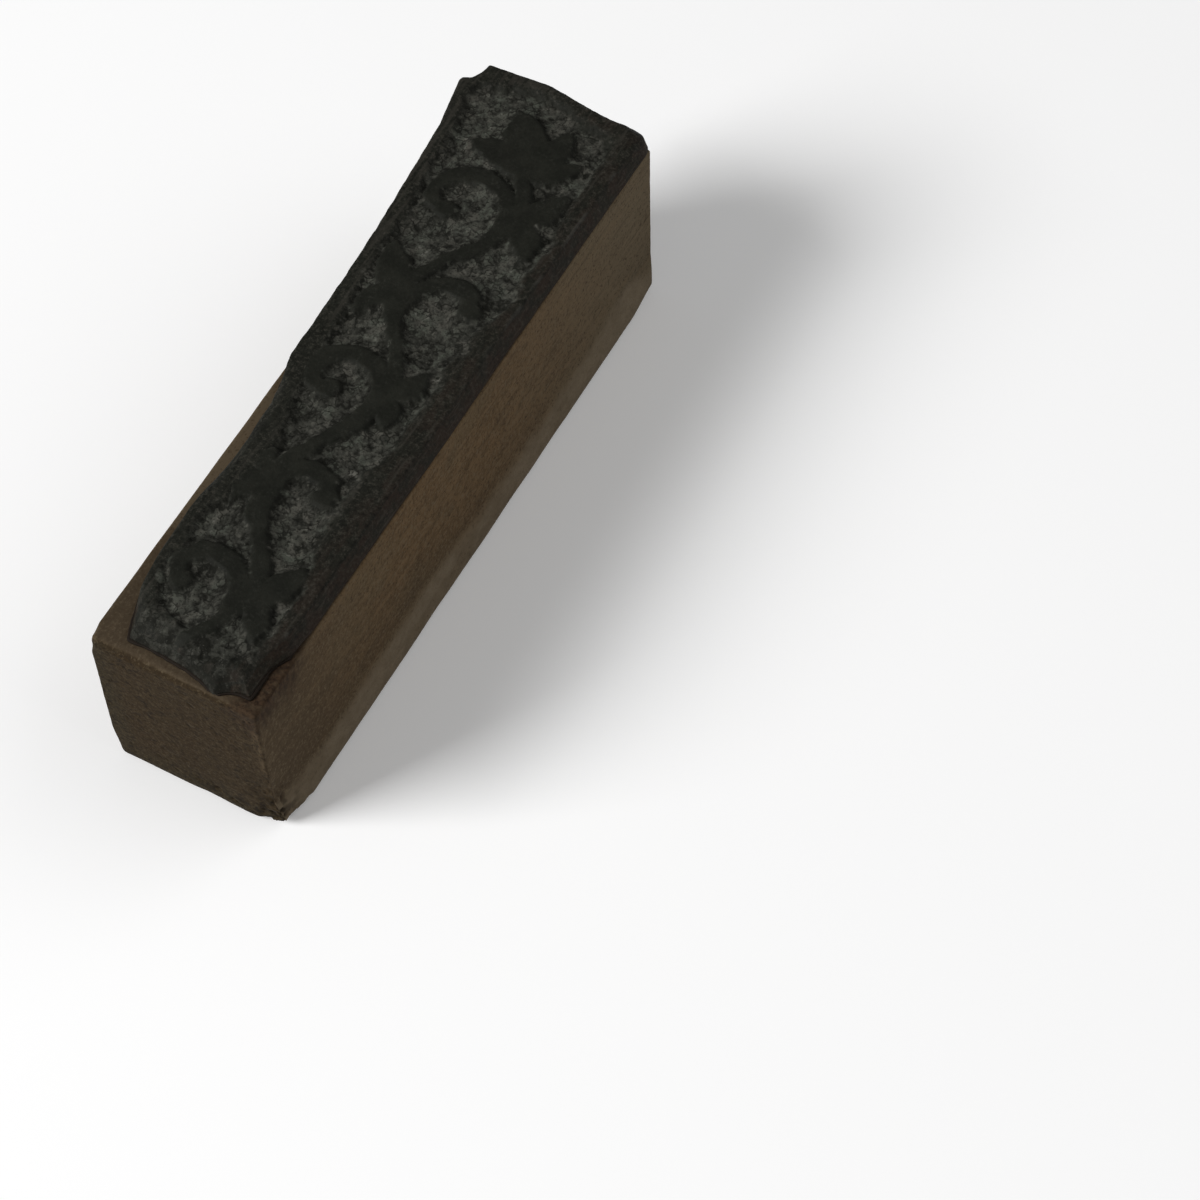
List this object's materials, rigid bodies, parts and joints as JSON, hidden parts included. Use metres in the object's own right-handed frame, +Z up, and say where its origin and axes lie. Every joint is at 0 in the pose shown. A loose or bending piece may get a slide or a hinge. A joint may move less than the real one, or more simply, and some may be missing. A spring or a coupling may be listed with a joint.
{
  "type": "hand-carved rubber seal stamp",
  "caption": "Long wooden block with a shallow finger groove, faced with a hand-carved rubber sheet whose raised vine scroll and border print.",
  "frame": {"origin": "middle of the wooden block's flat back, on which the stamp lies", "axes": "+Z up out of the printing face, +Y along the block to its far end, +X to the side with the finger groove"},
  "size_m": [0.0222, 0.0794, 0.0215],
  "materials": {
    "wood": "worn, unvarnished, fine grained",
    "glue": "dried brown glue",
    "rubber": "old dark grey rubber, smooth on the raised strokes and rough where it is cut away"
  },
  "bodies": {
    "root": {"wooden_block": "wood", "glue_layer": "glue", "rubber_die": "rubber"}
  },
  "joints": []
}
